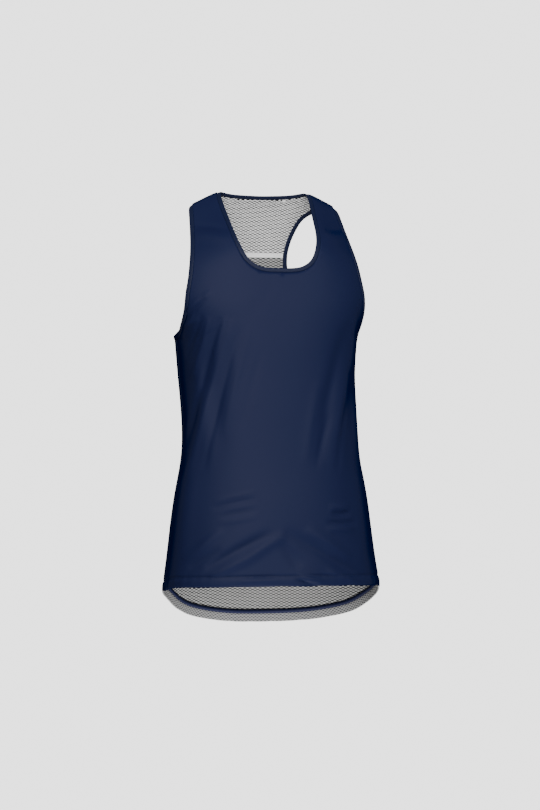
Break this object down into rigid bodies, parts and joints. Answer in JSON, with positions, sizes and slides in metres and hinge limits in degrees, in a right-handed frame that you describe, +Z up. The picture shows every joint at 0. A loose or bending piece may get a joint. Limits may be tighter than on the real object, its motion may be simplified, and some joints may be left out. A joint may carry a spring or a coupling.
{
  "type": "running singlet",
  "caption": "Sleeveless racerback running top in its worn shape, with a scooped neck, bound edges, a mesh back and a curved drop tail.",
  "frame": {"origin": "midway between the two shoulder straps, at the height where the shoulders carry them", "axes": "+Z up along the worn garment, front facing -Y, the wearer's left side towards +X"},
  "size_m": [0.3816, 0.2401, 0.7428],
  "materials": {
    "smooth_navy": "smooth knit with a soft satin sheen",
    "mesh_navy": "matte eyelet mesh, dyed outside and pale inside",
    "binding_navy": "matte knit binding",
    "white_tape": "matte woven tape",
    "navy_tape": "matte woven tape",
    "white_label": "smooth woven label, blank"
  },
  "bodies": {
    "root": {"front_panel": "smooth_navy", "back_panel": "mesh_navy", "back_yoke": "mesh_navy", "neck_binding": "binding_navy", "armhole_binding_left": "binding_navy", "armhole_binding_right": "binding_navy", "yoke_seam_tape": "white_tape", "back_hem_tape": "navy_tape", "neck_label": "white_label"}
  },
  "joints": []
}
